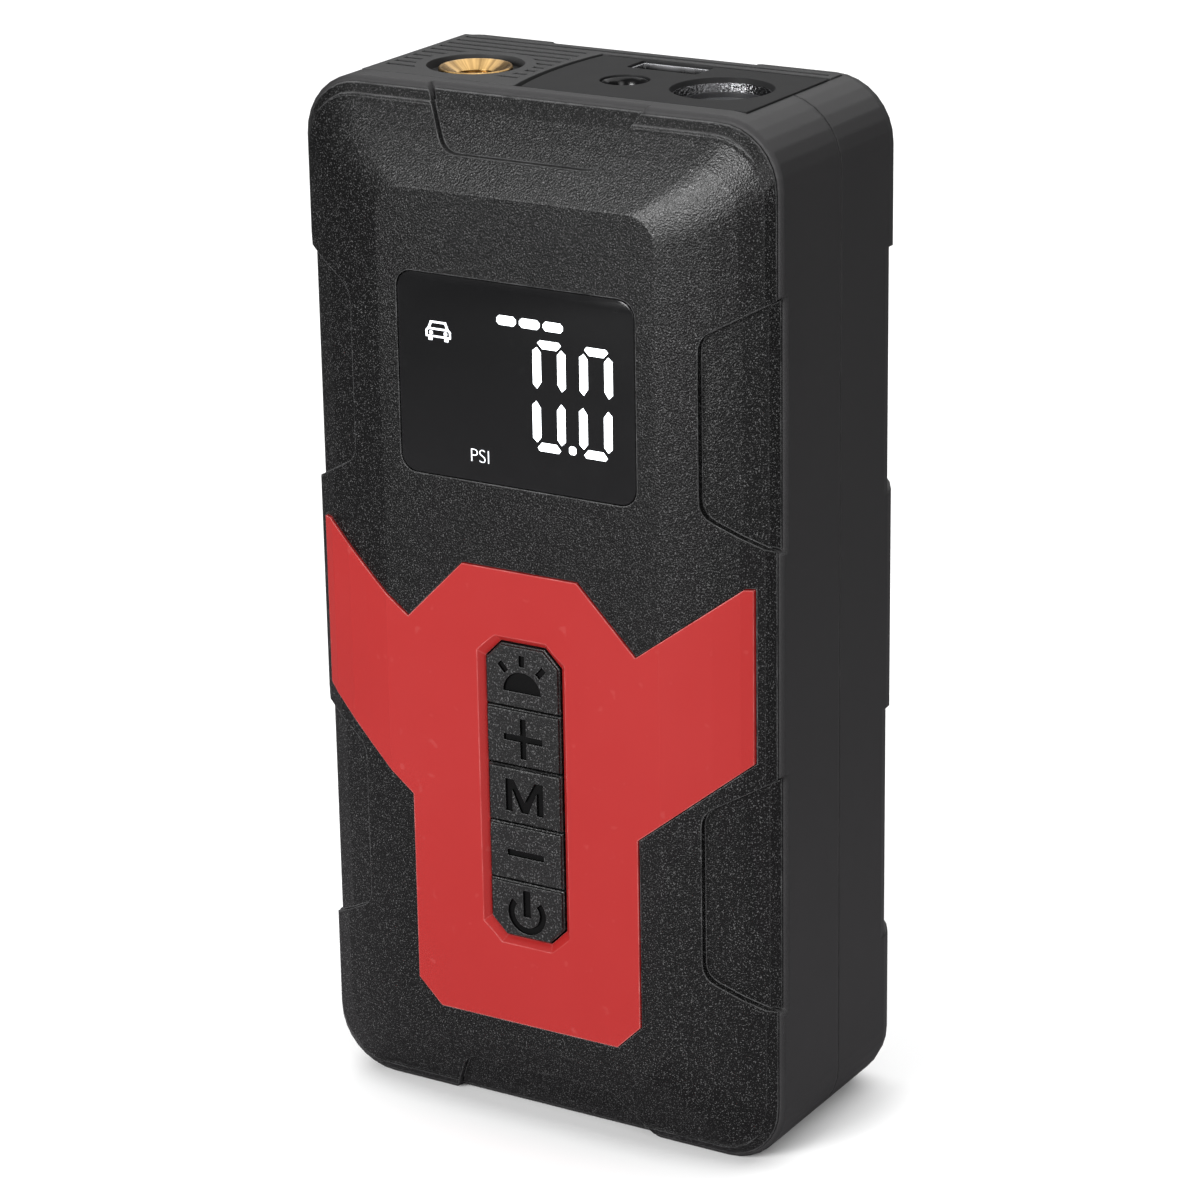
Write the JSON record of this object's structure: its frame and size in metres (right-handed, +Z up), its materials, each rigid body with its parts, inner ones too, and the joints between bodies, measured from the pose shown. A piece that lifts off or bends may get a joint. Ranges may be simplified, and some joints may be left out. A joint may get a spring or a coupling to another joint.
{
  "type": "jump starter pack",
  "caption": "Upright handheld jump starter with a built-in tyre compressor, backlit display, key column, torch, brass air outlet, charging and jump lead sockets.",
  "frame": {"origin": "centre of the base, on the surface the pack stands on", "axes": "+X to the right seen from the display side, +Y from the display side to the back, +Z up"},
  "size_m": [0.09, 0.05, 0.18],
  "materials": {
    "cover_black": "spark-eroded texture",
    "casing_black": "fine matt",
    "inlay_red": "satin",
    "window_black": "gloss",
    "key_black": "fine matt",
    "panel_black": "fine matt",
    "brass": "turned",
    "steel": "bright",
    "contact_metal": "plated",
    "aluminium": "cast",
    "board_green": "solder mask",
    "component_black": "moulded",
    "socket_blue": "moulded",
    "white_plastic": "moulded",
    "rubber_black": "matt",
    "reflector": "mirror",
    "lens_clear": "clear",
    "led_yellow": "phosphor",
    "cell_foil": "foil",
    "tray_grey": "moulded",
    "gear_plastic": "moulded"
  },
  "bodies": {
    "pack": {"front_cover": "cover_black", "front_casing": "casing_black", "rear_casing": "casing_black", "inlay_panel": "inlay_red", "display_window": "window_black", "display_module": "component_black", "main_board": "board_green", "board_components": "component_black", "key_switches": "component_black", "port_panel": "panel_black", "vent_grille": "panel_black", "air_outlet": "brass", "outlet_hose": "rubber_black", "usb_shell": "steel", "usb_tongue": "white_plastic", "dc_socket": "component_black", "dc_pin": "steel", "port_board": "board_green", "torch_housing": "component_black", "torch_reflector": "reflector", "torch_lens": "lens_clear", "torch_led": "led_yellow", "jump_socket": "socket_blue", "jump_contacts": "contact_metal", "battery_tray": "tray_grey", "battery_cell_1": "cell_foil", "battery_cell_2": "cell_foil", "battery_cell_3": "cell_foil", "cell_tabs": "steel", "compressor_frame": "aluminium", "motor": "steel", "gear_bearing": "brass", "piston": "aluminium", "cylinder_barrel": "aluminium", "cylinder_head": "aluminium", "casing_screws": "steel", "board_screws": "steel", "head_screws": "steel"},
    "light_key": {"light_key": "key_black"},
    "plus_key": {"plus_key": "key_black"},
    "mode_key": {"mode_key": "key_black"},
    "minus_key": {"minus_key": "key_black"},
    "power_key": {"power_key": "key_black"},
    "flap": {"jump_flap": "rubber_black"},
    "rotor": {"motor_shaft": "steel", "drive_pinion": "brass"},
    "crank": {"drive_gear": "gear_plastic", "gear_shaft": "steel", "crank_pin": "steel"},
    "rod": {"connecting_rod": "gear_plastic", "gudgeon_pin": "steel"}
  },
  "joints": [
    {"name": "light_key_press", "type": "slide", "parent": "pack", "child": "light_key", "axis": [0, 1, 0], "range_m": [0, 0.0005], "stiffness_N_per_m": 4000},
    {"name": "plus_key_press", "type": "slide", "parent": "pack", "child": "plus_key", "axis": [0, 1, 0], "range_m": [0, 0.0005], "stiffness_N_per_m": 4000},
    {"name": "mode_key_press", "type": "slide", "parent": "pack", "child": "mode_key", "axis": [0, 1, 0], "range_m": [0, 0.0005], "stiffness_N_per_m": 4000},
    {"name": "minus_key_press", "type": "slide", "parent": "pack", "child": "minus_key", "axis": [0, 1, 0], "range_m": [0, 0.0005], "stiffness_N_per_m": 4000},
    {"name": "power_key_press", "type": "slide", "parent": "pack", "child": "power_key", "axis": [0, 1, 0], "range_m": [0, 0.0005], "stiffness_N_per_m": 4000},
    {"name": "flap_hinge", "type": "hinge", "parent": "pack", "child": "flap", "pos_m": [-0.045, 0.0029, 0.0735], "axis": [0, -1, 0], "range_deg": [0, 120]},
    {"name": "gear_spin", "type": "hinge", "parent": "pack", "child": "crank", "pos_m": [-0.01, 0.0065, 0.109], "axis": [1, 0, 0], "continuous": true},
    {"name": "pinion_spin", "type": "hinge", "parent": "pack", "child": "rotor", "pos_m": [-0.01, 0.0065, 0.091], "axis": [1, 0, 0], "continuous": true},
    {"name": "rod_swing", "type": "hinge", "parent": "crank", "child": "rod", "pos_m": [-0.01, 0.0065, 0.113], "axis": [1, 0, 0], "continuous": true}
  ],
  "couplings": [
    {"joint": "pinion_spin", "follows": "gear_spin", "ratio": -4},
    {"joint": "rod_swing", "follows": "gear_spin", "ratio": -1}
  ]
}
